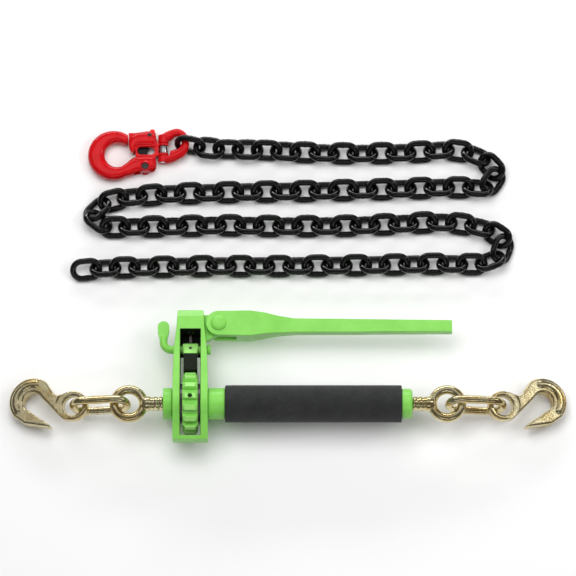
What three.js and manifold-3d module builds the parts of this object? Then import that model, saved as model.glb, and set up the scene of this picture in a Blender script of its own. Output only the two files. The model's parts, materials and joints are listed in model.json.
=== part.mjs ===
// A ratchet load binder and the lashing chain that goes with it, laid out flat.
// Millimetres, +Z up. The binder's barrel lies along X, the chain lies in four rows
// behind it (+Y), and everything stands on z = 0.
//
// Each moving body is a THREE.Group that stands at its own pivot. The pieces of a body
// are drawn in the frame of their assembly (binder, hook or chain).

import * as THREE from "three";
import { mergeVertices } from "three/addons/utils/BufferGeometryUtils.js";
import Module from "manifold-3d";

const wasm = await Module();
wasm.setup();

const { cos, sin, PI } = Math;
const rad = THREE.MathUtils.degToRad;

// ---------------------------------------------------------------- driving dimensions

const GAP = 0.3; // running clearance between neighbouring pieces
const ROUND = 24; // sides of a large turned piece
const SMALL_ROUND = 14; // sides of a pin or a bar

const GEAR = { tip: 37.5, root: 31.5, width: 18, teeth: 16, bevel: 4.5 };
const BINDER_AT = new THREE.Vector3(-116.4, -153.6, GEAR.tip);
const JOURNAL_R = 16;

const HOUSING = {
  plate: 21, // half width across both cheek plates at the barrel
  window: 12, // half width of the slot between the cheeks
  bottom: -46,
  top: 113,
  crease: 98, // where the head starts to taper
  windowTop: 88,
  windowBottom: -41,
  round: 27, // radius of a cheek plate about the barrel
};
const PAWL = { y: 67, hubR: 7.6, width: 18.6, clawWidth: 16, claw: 26, reach: 33.2 };
const LEVER = { bar: 4.8, x: -32.4, top: 102, bend: 9.6, paddle: 6.9 };
const PIVOT = { x: 33.6, y: 96.8, pin: 5, eye: 15.2, tongue: 5.5, tongueR: 12 };
const HANDLE_END = 312.6;

const BARREL = { left: -32.4, shoulder: 21.4, right: 264.6, collarR: 18.9, tubeR: 17.2 };
const BORE = { thread: 9.2, cavity: 12.5, left: -8, right: 240 };
const GRIP = { left: 41.4, right: 252, r: 22.2 };
const SCREW = { r: 8.7, end: 88, collar: 5, tailR: 6 };
const EYE = { x: 73.2, centreR: 17.5, bar: 5.5 };
const RIGHT_EYE_X = 306;

const LINK = { halfLength: 32.45, halfWidth: 13.25, bar: 4.75, lean: -13, droop: 10 };
const HOOK = { thick: 15, eyeThick: 11, eyeR: 18.2, holeR: 11.8, droop: 13.9, yaw: 4 };

// A link's inner length is a little more than its step, which leaves the links a gap.
const CHAIN = { bar: 4, innerLength: 24, step: 23.2, halfWidth: 10.6, lean: 30, weld: 2.6 };
const TWIST = { start: 32, perPair: 8 }; // extra roll of the first links, held on edge by the coupling
// Welded links that are held as one stiff piece, from the hook to the free end.
const RUNS = [1, 1, 4, 4, 3, 6, 5, 4, 4, 4, 5, 5, 4, 4, 5, 5, 4, 4, 4, 4, 2, 1, 1];
// The line that the chain lies along: x and y, chosen by hand.
const ROUTE = [
  [-129.6, 181.2], [-105.6, 176.2], [-80.4, 173.6], [-33.6, 173.3], [14.4, 170.5],
  [72.0, 169.2], [139.2, 170.2], [171.6, 172.4], [194.4, 174.4], [213.6, 172.6],
  [234.0, 164.9], [252.6, 150.4], [255.0, 136.0], [248.5, 125.0], [235.0, 124.5],
  [212.0, 126.6], [187.2, 126.2], [120.0, 124.1], [26.4, 121.6], [-68.4, 120.3],
  [-153.6, 117.8], [-200.4, 112.8], [-223.2, 106.5], [-238.6, 90.9], [-231.0, 76.5],
  [-214.0, 75.4], [-194.4, 76.1], [-153.6, 76.6], [-79.2, 78.3], [-6.0, 77.0],
  [67.2, 77.3], [136.8, 80.1], [182.4, 82.7], [208.8, 80.8], [235.2, 75.1],
  [257.4, 67.6], [263.5, 56.0], [260.0, 42.0], [243.6, 29.3], [220.8, 28.7],
  [195.6, 29.9], [102.0, 28.1], [4.8, 26.8], [-96.0, 26.8], [-198.0, 24.9],
  [-223.2, 24.3], [-254.4, 21.2], [-290.0, 20.2],
];

const SLING = { at: new THREE.Vector3(-211.2, 166.7, 8.7), thick: 17, ringR: 31 };
const SLING_PIVOT = { x: 38.4, y: -15.6, pin: 4.2 };
const TRIGGER = { x: 43.8, y: 24.4, pin: 2.2 };
const COUPLING = { x: 60.4, pin: 3.4, bar: 4.6, tilt: -8.5 };

// ---------------------------------------------------------------- materials

const finish = (color, roughness, metalness) =>
  new THREE.MeshStandardMaterial({ color, roughness, metalness });
const GREEN = finish(0x7fdc55, 0.42, 0.0);
const DARK_STEEL = finish(0x26241f, 0.5, 0.7);
const FOAM = finish(0x3a3b3c, 0.92, 0.0);
const ZINC = finish(0xcdb676, 0.28, 1.0);
const RED = finish(0xdc1620, 0.25, 0.0);
const BLACK = finish(0x0b0b0c, 0.18, 0.0);
const BRIGHT_STEEL = finish(0xb9bcc0, 0.25, 1.0);

// ---------------------------------------------------------------- shape tools

/** A manifold solid of a closed three.js geometry, or of a solid, which is returned. */
function solid(shape) {
  if (!shape.isBufferGeometry) return shape;
  const bare = new THREE.BufferGeometry();
  bare.setAttribute("position", shape.getAttribute("position"));
  if (shape.index) bare.setIndex(shape.index);
  const merged = mergeVertices(bare, 1e-4);
  return new wasm.Manifold(
    new wasm.Mesh({
      numProp: 3,
      vertProperties: merged.attributes.position.array,
      triVerts: new Uint32Array(merged.index.array),
    }),
  );
}

const join = (...shapes) => shapes.map(solid).reduce((all, s) => all.add(s));
const cut = (shape, ...tools) => tools.reduce((left, t) => left.subtract(solid(t)), solid(shape));
const common = (a, b) => solid(a).intersect(solid(b));

/** A named mesh of a geometry or a solid. */
function piece(name, material, shape) {
  const mesh = solid(shape).getMesh();
  const geometry = new THREE.BufferGeometry();
  geometry.setAttribute("position", new THREE.BufferAttribute(mesh.vertProperties, 3));
  geometry.setIndex(new THREE.BufferAttribute(mesh.triVerts, 1));
  geometry.computeVertexNormals();
  const made = new THREE.Mesh(geometry, material);
  made.name = name;
  return made;
}

/** A group that stands at a pivot, with members that are drawn in the parent's frame. */
function body(name, pivot, ...members) {
  const group = new THREE.Group();
  group.name = name;
  group.position.copy(pivot);
  for (const member of members) {
    member.position.sub(pivot);
    group.add(member);
  }
  return group;
}

const at = (geometry, x, y, z = 0) => geometry.translate(x, y, z);
const rodX = (r, from, to, sides = SMALL_ROUND) =>
  at(new THREE.CylinderGeometry(r, r, to - from, sides).rotateZ(-PI / 2), (from + to) / 2, 0);
const rodY = (r, from, to, sides = SMALL_ROUND) =>
  at(new THREE.CylinderGeometry(r, r, to - from, sides), 0, (from + to) / 2);
const rodZ = (r, from, to, sides = SMALL_ROUND) =>
  at(new THREE.CylinderGeometry(r, r, to - from, sides).rotateX(PI / 2), 0, 0, (from + to) / 2);
const ringX = (inner, outer, from, to, sides = ROUND) =>
  turned([[inner, from], [outer, from], [outer, to], [inner, to]], sides);

/** A block between two corners. */
function block(x0, x1, y0, y1, z0, z1) {
  const box = new THREE.BoxGeometry(x1 - x0, y1 - y0, z1 - z0);
  return box.translate((x0 + x1) / 2, (y0 + y1) / 2, (z0 + z1) / 2);
}

/** A closed [radius, x] profile turned about the X axis. */
function turned(profile, sides = ROUND) {
  const points = [...profile, profile[0]].map(([r, x]) => new THREE.Vector2(r, x));
  const geometry = new THREE.LatheGeometry(points, sides);
  return geometry.rotateZ(-PI / 2);
}

/** A flat plate of an outline in XY, centred on z = 0. */
function plate(outline, thick, segments = 6) {
  const drawn = outline instanceof THREE.Shape;
  const shape = drawn ? outline : new THREE.Shape(outline.map(([x, y]) => new THREE.Vector2(x, y)));
  const options = { depth: thick, bevelEnabled: false, curveSegments: segments };
  return new THREE.ExtrudeGeometry(shape, options).translate(0, 0, -thick / 2);
}

/** The same for an outline in YZ, extruded along X, centred on x = 0. */
const SIDEWAYS = new THREE.Matrix4().makeBasis(
  new THREE.Vector3(0, 1, 0),
  new THREE.Vector3(0, 0, 1),
  new THREE.Vector3(1, 0, 0),
);
const sidePlate = (outline, thick, segments) => plate(outline, thick, segments).applyMatrix4(SIDEWAYS);

/** The same for an outline in XZ, extruded along Y, centred on y = 0. */
const topPlate = (outline, thick, segments) => plate(outline, thick, segments).rotateX(PI / 2);

/** A round bar along a curve, with flat ends. */
function bar(points, r, steps = 16, sides = 8) {
  const curve = new THREE.CatmullRomCurve3(points.map((p) => new THREE.Vector3(...p)), false, "centripetal");
  const section = new THREE.Shape();
  for (let k = 0; k < sides; k++) {
    const angle = (2 * PI * (k + 0.5)) / sides;
    section[k ? "lineTo" : "moveTo"](r * cos(angle), r * sin(angle));
  }
  return new THREE.ExtrudeGeometry(section, { steps, extrudePath: curve, bevelEnabled: false });
}

/** A closed oval link in XY with its long side along X: a torus pulled apart. */
function ovalLink(halfLength, halfWidth, r, sides = 6, corners = 8) {
  const outside = 1 / cos(PI / corners); // so that the flats of the polygon touch the true oval
  const geometry = new THREE.TorusGeometry(halfWidth * outside, r, sides, corners).rotateZ(PI / corners);
  const spots = geometry.getAttribute("position");
  for (let i = 0; i < spots.count; i++) {
    const x = spots.getX(i);
    spots.setX(i, x + Math.sign(x) * (halfLength - halfWidth));
  }
  return geometry;
}

// ---------------------------------------------------------------- ratchet binder

/** The gear's toothed outline, with a tooth straight up. */
function gearOutline() {
  const pitch = (2 * PI) / GEAR.teeth;
  const corner = [
    [GEAR.root, 0.2],
    [GEAR.tip, 0.28],
    [GEAR.tip, 0.72],
    [GEAR.root, 0.8],
  ];
  const points = [];
  for (let tooth = 0; tooth < GEAR.teeth; tooth++)
    for (const [r, share] of corner) {
      const angle = (tooth + share - 0.5) * pitch;
      points.push([r * cos(angle), r * sin(angle)]);
    }
  return points;
}

function gear() {
  const half = GEAR.width / 2;
  const low = GEAR.tip - GEAR.bevel;
  const envelope = turned([[0, -half], [low, -half], [GEAR.tip, -half + 3], [GEAR.tip, half - 3], [low, half], [0, half]], 32);
  const bore = rodX(JOURNAL_R + GAP, -half - 1, half + 1, ROUND);
  return cut(common(sidePlate(gearOutline(), GEAR.width), envelope), bore, rodZ(2.5 + GAP, 0, GEAR.tip, 10));
}

/** Both cheek plates, the head block, the foot web and the tongue for the handle, in one casting. */
function housing() {
  const side = new THREE.Shape();
  side.moveTo(HOUSING.bottom, 8);
  side.lineTo(HOUSING.round * cos(rad(130)), HOUSING.round * sin(rad(130)));
  side.absarc(0, 0, HOUSING.round, rad(130), rad(80), true);
  side.lineTo(HOUSING.crease, 17);
  side.lineTo(HOUSING.top, 12);
  side.lineTo(HOUSING.top, -12);
  side.lineTo(HOUSING.crease, -17);
  side.absarc(0, 0, HOUSING.round, rad(-80), rad(-130), true);
  side.lineTo(HOUSING.bottom, -8);
  const half = [
    [HOUSING.plate, HOUSING.bottom],
    [HOUSING.plate, 30],
    [19.7, 62],
    [16.6, 92],
    [15.4, HOUSING.top],
  ];
  const front = [...half, ...half.map(([x, y]) => [-x, y]).reverse()];
  const cheeks = common(sidePlate(side, 2 * HOUSING.plate, 5), plate(front, 80));
  const w = HOUSING.window;
  const window = block(-w, w, HOUSING.windowBottom, HOUSING.windowTop, -50, 50);
  const tongue = plate(
    [[14, 74], [14, 109], [PIVOT.x, PIVOT.y + PIVOT.tongueR], [PIVOT.x, PIVOT.y - PIVOT.tongueR]],
    2 * PIVOT.tongue,
  );
  const tongueEnd = at(rodZ(PIVOT.tongueR, -PIVOT.tongue, PIVOT.tongue, 20), PIVOT.x, PIVOT.y);
  // The wall behind the pawl, clear of its claws' swing.
  const backWall = block(-w - 0.5, w + 0.5, 62, HOUSING.windowTop + 0.5, -20, -16);
  return cut(
    join(cut(cheeks, window), tongue, tongueEnd, common(backWall, cheeks)),
    rodX(JOURNAL_R + GAP, -40, 40, ROUND),
    at(rodX(LEVER.bar + GAP, -40, 40), 0, PAWL.y),
    at(rodZ(PIVOT.pin + GAP, -20, 20), PIVOT.x, PIVOT.y),
    rodY(3.6 + GAP, HOUSING.windowTop - 1, 107, 12),
  );
}

/** A two-clawed pawl in its neutral place. A short swing drops one claw beside the top tooth. */
function pawl() {
  const a = rad(PAWL.claw);
  const tip = (angle, r) => [PAWL.y - r * cos(angle), r * sin(angle)];
  const claw = [[0.5, 17], [0.14, 26], [0.06, PAWL.reach], [-0.06, PAWL.reach], [-0.14, 26]];
  const claws = [
    [PAWL.y + 2, PAWL.hubR - 1],
    ...claw.map(([turn, r]) => tip(a + turn, r)),
    tip(0, 14),
    ...claw.map(([turn, r]) => tip(-a - turn, r)).reverse(),
    [PAWL.y + 2, 1 - PAWL.hubR],
  ];
  const hub = at(rodX(PAWL.hubR, -PAWL.width / 2, PAWL.width / 2, 20), 0, PAWL.y);
  const shaftHole = at(rodX(LEVER.bar + GAP, -20, 20), 0, PAWL.y);
  const pinHole = at(rodZ(1.8 + GAP, -20, 20, 8), 0, PAWL.y);
  return cut(join(hub, sidePlate(claws, PAWL.clawWidth)), shaftHole, pinHole);
}

/** The pawl's shaft, bent up outside the housing and flattened into a thumb paddle. */
function pawlLever() {
  const shaft = at(rodX(LEVER.bar, LEVER.x + LEVER.bend, 23.4), 0, PAWL.y);
  const bend = bar(
    [
      [LEVER.x + LEVER.bend + 2, PAWL.y, 0],
      [LEVER.x + LEVER.bend - 2, PAWL.y + 0.3, 0],
      [LEVER.x + 2.8, PAWL.y + 2.8, 0],
      [LEVER.x + 0.3, PAWL.y + LEVER.bend - 2, 0],
      [LEVER.x, PAWL.y + LEVER.bend + 8, 0],
    ],
    LEVER.bar,
    8,
    10,
  );
  const outline = new THREE.Shape();
  outline.moveTo(LEVER.x - LEVER.bar, PAWL.y + 12);
  outline.lineTo(LEVER.x + LEVER.bar, PAWL.y + 12);
  outline.lineTo(LEVER.x + LEVER.paddle, PAWL.y + 22);
  outline.absarc(LEVER.x, LEVER.top - LEVER.paddle, LEVER.paddle, 0, PI, false);
  outline.lineTo(LEVER.x - LEVER.paddle, PAWL.y + 22);
  const pinHole = at(rodZ(1.8 + GAP, -20, 20, 8), 0, PAWL.y);
  return cut(join(shaft, bend, plate(outline, 7)), pinHole);
}

/** The folding handle: a forked head that tapers into a plain bar. */
function handle() {
  const face = new THREE.Shape();
  face.absarc(PIVOT.x, PIVOT.y, PIVOT.eye, rad(270), rad(90), true);
  for (const [x, y] of [[71, 112.4], [88, 110.6], [104, 107.4], [124, 104.6], [HANDLE_END, 102.6]])
    face.lineTo(x, y);
  for (const [x, y] of [[HANDLE_END, 88], [124, 87], [100, 85.4], [71, 81]]) face.lineTo(x, y);
  const thick = [[15, 13.5], [71, 13.5], [88, 12], [106, 8.2], [124, 6.8], [HANDLE_END, 6.4]];
  const side = [...thick.map(([x, z]) => [x, -z]), ...thick.map(([x, z]) => [x, z]).reverse()];
  const slot = block(0, PIVOT.x + 21, 60, 130, -PIVOT.tongue - 0.4, PIVOT.tongue + 0.4);
  const pinHole = at(rodZ(PIVOT.pin + GAP, -20, 20), PIVOT.x, PIVOT.y);
  return cut(common(plate(face, 40, 10), at(topPlate(side, 60), 0, PIVOT.y)), slot, pinHole);
}

/** The handle's pivot: a pin with a domed head above and a peened end below its washer. */
function handlePin() {
  const head = turned([[0, 13.8], [9.2, 13.8], [8.2, 15.6], [4, 16.8], [0, 16.8]], 20).rotateY(-PI / 2);
  const tail = rodZ(6.6, -17.6, -15.6);
  return at(joinAll([rodZ(PIVOT.pin, -16.6, 14.4), head, tail]), PIVOT.x, PIVOT.y);
}

const joinAll = (shapes) => geometryOf(join(...shapes));

/** A solid turned back into a geometry, so that it can be moved. */
function geometryOf(shape) {
  const mesh = shape.getMesh();
  const geometry = new THREE.BufferGeometry();
  geometry.setAttribute("position", new THREE.BufferAttribute(mesh.vertProperties, 3));
  geometry.setIndex(new THREE.BufferAttribute(mesh.triVerts, 1));
  return geometry;
}

function barrel() {
  return cut(
    turned([
      [BORE.thread, BARREL.left],
      [14, BARREL.left],
      [14, -BARREL.shoulder],
      [JOURNAL_R, -BARREL.shoulder],
      [JOURNAL_R, BARREL.shoulder],
      [BARREL.collarR, BARREL.shoulder],
      [BARREL.collarR, GRIP.left - GAP],
      [BARREL.tubeR, GRIP.left - GAP],
      [BARREL.tubeR, GRIP.right + GAP],
      [18, GRIP.right + GAP],
      [18, BARREL.right - 3],
      [15, BARREL.right],
      [BORE.thread, BARREL.right],
      [BORE.thread, BORE.right],
      [BORE.cavity, BORE.right],
      [BORE.cavity, BORE.left],
      [BORE.thread, BORE.left],
    ]),
    rodZ(2.5 + GAP, 0, 30, 10),
  );
}

/** An eye bolt whose eye stands at -EYE.x, with its screw towards +X. */
function eyeBolt() {
  const eye = at(new THREE.TorusGeometry(EYE.centreR, EYE.bar, 10, 24), -EYE.x, 0);
  const neck = turned([[0, -57], [7.4, -57], [SCREW.r + 1.2, -52.5], [SCREW.r, -48], [0, -48]], 20);
  const tail = SCREW.end - SCREW.collar - 1;
  return join(eye, neck, rodX(SCREW.r, -50, tail, 20), rodX(SCREW.tailR, tail - 1, SCREW.end + 1, 20));
}

const stopCollar = () =>
  ringX(SCREW.tailR + GAP, BORE.cavity - 0.6, SCREW.end - SCREW.collar, SCREW.end, 20);

/** The grab hook lies in XY with its eye at the origin and its bowl towards -X. */
function grabHook() {
  const outline = new THREE.Shape();
  outline.moveTo(-4.2, -18);
  for (const [x, y] of [[-10.2, -16.9], [-16.2, -11.9], [-25.8, -3.1], [-37.8, 8.2]]) outline.lineTo(x, y);
  outline.absarc(-49.5, 3.6, 12, rad(35), rad(215), false);
  for (const [x, y] of [[-42.6, -14.4], [-34.2, -18.8], [-27, -23.8], [-24.6, -27.6], [-40.2, -25.7], [-58.2, -23.2]])
    outline.lineTo(x, y);
  outline.absarc(-49.8, 4.4, 28.8, rad(222), rad(60), true);
  for (const [x, y] of [[-28.2, 19.5], [-24.6, 14.4], [-19.8, 11.9], [-13.8, 13.8], [-6.6, 17.4]]) outline.lineTo(x, y);
  const thin = HOOK.eyeThick / 2;
  const ring = rodZ(HOOK.eyeR, -thin, thin, 24);
  const shaving = (z0, z1) => rodZ(HOOK.eyeR + 1.5, z0, z1, 24);
  const plateBody = plate(outline, HOOK.thick, 8);
  const shaved = cut(plateBody, shaving(thin, 20), shaving(-20, -thin));
  return cut(join(shaved, ring), rodZ(HOOK.holeR, -20, 20, 24));
}

/** One end of the binder: eye bolt, connecting link and grab hook, drawn for the left side. */
function binderEnd(side, mirrored) {
  const linkPivot = new THREE.Vector3(-EYE.x - 2.4, 0, 0);
  const link = piece(
    `connecting_link_${side}`,
    ZINC,
    ovalLink(LINK.halfLength, LINK.halfWidth, LINK.bar, 10, 16)
      .rotateX(PI / 2)
      .translate(-LINK.halfLength, 0, 0)
      .rotateX(rad(LINK.lean))
      .rotateY(-rad(LINK.droop)),
  );
  const reach = 2 * LINK.halfLength;
  const hookPivot = new THREE.Vector3(-reach * cos(rad(LINK.droop)), 0, -reach * sin(rad(LINK.droop)));
  const hook = piece(
    `grab_hook_${side}`,
    ZINC,
    geometryOf(grabHook()).rotateZ(-rad(HOOK.yaw)).rotateY(-rad(HOOK.droop)),
  );
  const hookBody = new THREE.Group();
  hookBody.name = `${side}_hook`;
  hookBody.position.copy(hookPivot);
  hookBody.add(hook);
  const linkBody = new THREE.Group();
  linkBody.name = `${side}_link`;
  linkBody.position.copy(linkPivot);
  linkBody.add(link, hookBody);
  const screw = new THREE.Group();
  screw.name = `${side}_screw`;
  screw.add(
    piece(`eye_bolt_${side}`, ZINC, eyeBolt()),
    piece(`stop_collar_${side}`, DARK_STEEL, stopCollar()),
    linkBody,
  );
  if (mirrored) {
    screw.scale.x = -1;
    screw.position.x = RIGHT_EYE_X - EYE.x;
  }
  return screw;
}

function binder() {
  const pivot = new THREE.Vector3(PIVOT.x, PIVOT.y, 0);
  const pawlAt = new THREE.Vector3(0, PAWL.y, 0);
  const group = new THREE.Group();
  group.name = "binder";
  group.position.copy(BINDER_AT);
  const spring = coil(3.2, 0.6, PAWL.y + 24, 105.5, 4);
  group.add(
    piece("ratchet_housing", GREEN, housing()),
    piece("detent_spring", BRIGHT_STEEL, spring),
    body(
      "barrel_body",
      new THREE.Vector3(),
      piece("barrel", GREEN, barrel()),
      piece("bearing_collar", GREEN, ringX(14.3, BARREL.collarR, BARREL.left, -BARREL.shoulder - GAP)),
      piece("ratchet_gear", GREEN, gear()),
      piece("gear_roll_pin", DARK_STEEL, rodZ(2.5, 13.4, 30.8, 10)),
      piece("thrust_washer_left", DARK_STEEL, ringX(JOURNAL_R + 0.4, 24, -11.6, -9.4)),
      piece("thrust_washer_right", DARK_STEEL, ringX(JOURNAL_R + 0.4, 24, 9.4, 11.6)),
      piece("barrel_grip", FOAM, ringX(BARREL.tubeR + GAP, GRIP.r, GRIP.left, GRIP.right)),
    ),
    body(
      "pawl_body",
      pawlAt,
      piece("pawl", GREEN, pawl()),
      piece("pawl_lever", GREEN, pawlLever()),
      piece("pawl_cross_pin", DARK_STEEL, at(rodZ(1.8, -7.2, 7.2, 8), 0, PAWL.y)),
      piece("lever_end_cap", GREEN, at(ringX(LEVER.bar + GAP, 6, 20.2, 24, 16), 0, PAWL.y)),
    ),
    body("plunger_body", pawlAt, piece("detent_plunger", BRIGHT_STEEL, plunger())),
    body(
      "handle_body",
      pivot,
      piece("handle_lever", GREEN, handle()),
      piece("handle_pivot_pin", GREEN, handlePin()),
      piece("handle_washer", DARK_STEEL, at(ringX(PIVOT.pin + GAP, 9, -15.4, -13.8, 20).rotateY(-PI / 2), PIVOT.x, PIVOT.y)),
    ),
    binderEnd("left", false),
    binderEnd("right", true),
  );
  return group;
}

/** The sprung detent that holds the pawl's hub in place. */
function plunger() {
  const foot = PAWL.y + PAWL.hubR + 0.5;
  return join(rodY(3.2, foot, PAWL.y + 16, 12), rodY(1.5, PAWL.y + 15, PAWL.y + 26, 8));
}

/** A round-wire compression spring along Y. */
function coil(r, wire, from, to, turns) {
  const steps = turns * 10;
  const points = [];
  for (let k = 0; k <= steps; k++) {
    const angle = (2 * PI * turns * k) / steps;
    points.push([(r - wire) * cos(angle), from + ((to - from) * k) / steps, (r - wire) * sin(angle)]);
  }
  return bar(points, wire, steps, 5);
}

// ---------------------------------------------------------------- sling hook and coupling

/** The bowl: a heavy open ring whose shank runs back to the pivot. */
function slingBowl() {
  const outer = new THREE.Shape();
  outer.moveTo(18, 28);
  outer.lineTo(SLING.ringR * cos(rad(57)), SLING.ringR * sin(rad(57)));
  outer.absarc(0, 0, SLING.ringR, rad(57), rad(298), false);
  for (const [x, y] of [[33.6, -22], [48, -21]]) outer.lineTo(x, y);
  outer.absarc(44.4, -10.8, 9.3, rad(-72), rad(62), false);
  for (const [x, y] of [[30, -0.6], [23.4, -1.4]]) outer.lineTo(x, y);
  outer.absarc(5, 0.2, 15.4, rad(-22), rad(-312), true);
  const throat = block(17.6, 30, 2, 40, -20, 20);
  const slotZ = 4.4;
  const slot = block(25, 70, -40, 20, -slotZ, slotZ);
  const pinHole = at(rodZ(SLING_PIVOT.pin + GAP, -20, 20), SLING_PIVOT.x, SLING_PIVOT.y);
  return cut(plate(outer, SLING.thick, 20), throat, slot, pinHole);
}

/** The head that the bowl pivots on: nose, eye slot and the knuckles for the coupling. */
function slingHead() {
  const wide = [
    [18.4, 27.4], [26, 27.4], [33.6, 28.4], [40.8, 29.8], [50.8, 28], [51.4, 20], [51, 10.6],
    [28, 9.8], [25.4, 6], [24, 1.2], [22, 1.2], [18.4, 11],
  ];
  const thinPart = [
    [27, 20], [52.6, 20], [53, 15.4], [56, 12], [56, 3], [52, -1], [48, -8], [44.6, -21], [32.2, -21],
    [29, -14], [26.6, 0],
  ];
  const eye = new THREE.Shape();
  eye.absarc(33.4, 5.2, 4.6, rad(90), rad(270), false);
  eye.absarc(45.4, 5.2, 4.6, rad(270), rad(450), false);
  const knuckle = (y0, y1) => at(rodY(6.4, y0, y1, 16), COUPLING.x, 0);
  const neck = block(52, COUPLING.x, -0.8, 15.2, -4, 4);
  const sleeveRoom = block(54.6, 70, 2.2, 12, -20, 20);
  return cut(
    join(plate(wide, SLING.thick), plate(thinPart, 7.8), neck, knuckle(-0.8, 15.2)),
    plate(eye, 60, 6),
    sleeveRoom,
    at(rodY(COUPLING.pin + GAP, -20, 40), COUPLING.x, 0),
    at(rodZ(SLING_PIVOT.pin + GAP, -20, 20), SLING_PIVOT.x, SLING_PIVOT.y),
    at(rodZ(TRIGGER.pin + GAP, -20, 20, 10), TRIGGER.x, TRIGGER.y),
    block(36, 51.5, 17.4, 40, -3.7, 3.7),
  );
}

/** The thumb trigger in the head's top slot. */
function trigger() {
  const outline = [
    [37.4, 21.6], [49.6, 20.6], [50.4, 27], [49.6, 32.4], [45.6, 32.8], [42.6, 29.4], [38, 28.6],
  ];
  const pinHole = at(rodZ(TRIGGER.pin + GAP, -20, 20, 10), TRIGGER.x, TRIGGER.y);
  return cut(plate(outline, 6.2), pinHole, at(rodZ(3.9, 1.2, 10, 16), TRIGGER.x, TRIGGER.y));
}

/** The coupling half: a bow with a knuckle on each side of the head. */
function couplingHalf() {
  const bow = bar(
    [
      [COUPLING.x, 20.6, 0], [COUPLING.x + 7, 25.8, 0], [COUPLING.x + 16, 29.2, 0],
      [COUPLING.x + 24, 24.6, 0], [COUPLING.x + 27, 14.6, 0], [COUPLING.x + 24, 3.6, 0],
      [COUPLING.x + 16, -1.6, 0], [COUPLING.x + 7, -4.4, 0], [COUPLING.x, -5.2, 0],
    ],
    COUPLING.bar,
    18,
    8,
  );
  const headRoom = block(40, COUPLING.x + 9, -1.2, 15.6, -20, 20);
  return cut(
    join(bow, at(rodY(6.6, -9, -1.2, 16), COUPLING.x, 0), at(rodY(6.6, 15.6, 25.8, 16), COUPLING.x, 0)),
    headRoom,
    at(rodY(COUPLING.pin + GAP, -20, 40), COUPLING.x, 0),
    block(40, COUPLING.x - 6.7, -20, 40, -20, 20),
  );
}

function slingHook() {
  const tilt = rad(COUPLING.tilt);
  const pinCentre = new THREE.Vector3(COUPLING.x, 0, 0);
  const coupling = body(
    "coupling_body",
    pinCentre,
    piece("coupling_half", RED, couplingHalf()),
    piece("coupling_load_pin", BRIGHT_STEEL, at(rodY(COUPLING.pin, -8.6, 25, SMALL_ROUND), COUPLING.x, 0)),
    piece("coupling_lock_sleeve", BRIGHT_STEEL, lockSleeve()),
  );
  coupling.rotation.y = tilt;
  const bowlPivot = new THREE.Vector3(SLING_PIVOT.x, SLING_PIVOT.y, 0);
  const triggerPivot = new THREE.Vector3(TRIGGER.x, TRIGGER.y, 0);
  const head = new THREE.Group();
  head.name = "sling_head_body";
  head.position.copy(SLING.at);
  head.add(
    piece("sling_hook_head", RED, slingHead()),
    piece("sling_pivot_pin", DARK_STEEL, at(rodZ(SLING_PIVOT.pin, -8.3, 8.3, 16), SLING_PIVOT.x, SLING_PIVOT.y)),
    piece("trigger_pin", DARK_STEEL, at(rodZ(TRIGGER.pin, -8.2, 8.2, 10), TRIGGER.x, TRIGGER.y)),
    piece("trigger_spring", BRIGHT_STEEL, at(geometryOf(solid(triggerSpring())), TRIGGER.x, TRIGGER.y)),
    body("bowl_body", bowlPivot, piece("sling_hook_bowl", RED, slingBowl())),
    body("trigger_body", triggerPivot, piece("latch_trigger", RED, trigger())),
    coupling,
  );
  return head;
}

/** The sleeve that locks the load pin between the head's knuckles. */
function lockSleeve() {
  const ring = ringX(COUPLING.pin + GAP, 5.4, 2.6, 11.6, 12).rotateZ(PI / 2);
  return at(ring, COUPLING.x, 0);
}

/** A small torsion spring round the trigger's pin. */
function triggerSpring() {
  const points = [];
  const turns = 1.6;
  for (let k = 0; k <= 16; k++) {
    const angle = (2 * PI * turns * k) / 16;
    points.push([3.1 * cos(angle), 3.1 * sin(angle), 1.8 + (0.9 * k) / 16]);
  }
  return bar(points, 0.35, 20, 5);
}

// ---------------------------------------------------------------- chain

/** How far link number i (from 1) is rolled about its own length. */
function rollOf(i) {
  const side = i % 2 ? 1 : -1;
  const pair = Math.floor(i / 2);
  return rad(side * CHAIN.lean + Math.max(0, TWIST.start - TWIST.perPair * pair));
}

/** The height of a link's centre line when its lower side touches the ground. */
const restHeight = (i) => CHAIN.bar + CHAIN.halfWidth * Math.abs(sin(rollOf(i)));

/** The points where neighbouring links bear on each other along the route, from the coupling. */
function chainJoints(total) {
  const joints = [new THREE.Vector2(...ROUTE[0])];
  let leg = 0;
  while (joints.length <= total) {
    const from = joints[joints.length - 1];
    while (from.distanceTo(new THREE.Vector2(...ROUTE[leg + 1])) < CHAIN.step) leg++;
    const a = new THREE.Vector2(...ROUTE[leg]);
    const along = new THREE.Vector2(...ROUTE[leg + 1]).sub(a).normalize();
    const offset = a.clone().sub(from);
    const half = offset.dot(along);
    const reach = -half + Math.sqrt(half * half - offset.lengthSq() + CHAIN.step ** 2);
    joints.push(a.addScaledVector(along, reach));
  }
  return joints.map((p, i) => new THREE.Vector3(p.x, p.y, Math.max(restHeight(i), restHeight(i + 1))));
}

/** One link midway between two joints, rolled about its own length. */
function chainLink(a, b, roll) {
  const along = b.clone().sub(a).normalize();
  const level = new THREE.Vector3(-along.y, along.x, 0).normalize();
  const up = along.clone().cross(level);
  const across = level.multiplyScalar(cos(roll)).addScaledVector(up, sin(roll));
  const normal = along.clone().cross(across);
  const place = new THREE.Matrix4().makeBasis(along, across, normal);
  place.setPosition(a.clone().add(b).multiplyScalar(0.5));
  const halfLength = CHAIN.innerLength / 2 + CHAIN.bar;
  return ovalLink(halfLength, CHAIN.halfWidth, CHAIN.bar, 5).applyMatrix4(place);
}

/** The small weld that holds two links of a run together. */
const weld = () => new THREE.OctahedronGeometry(CHAIN.weld);

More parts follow.
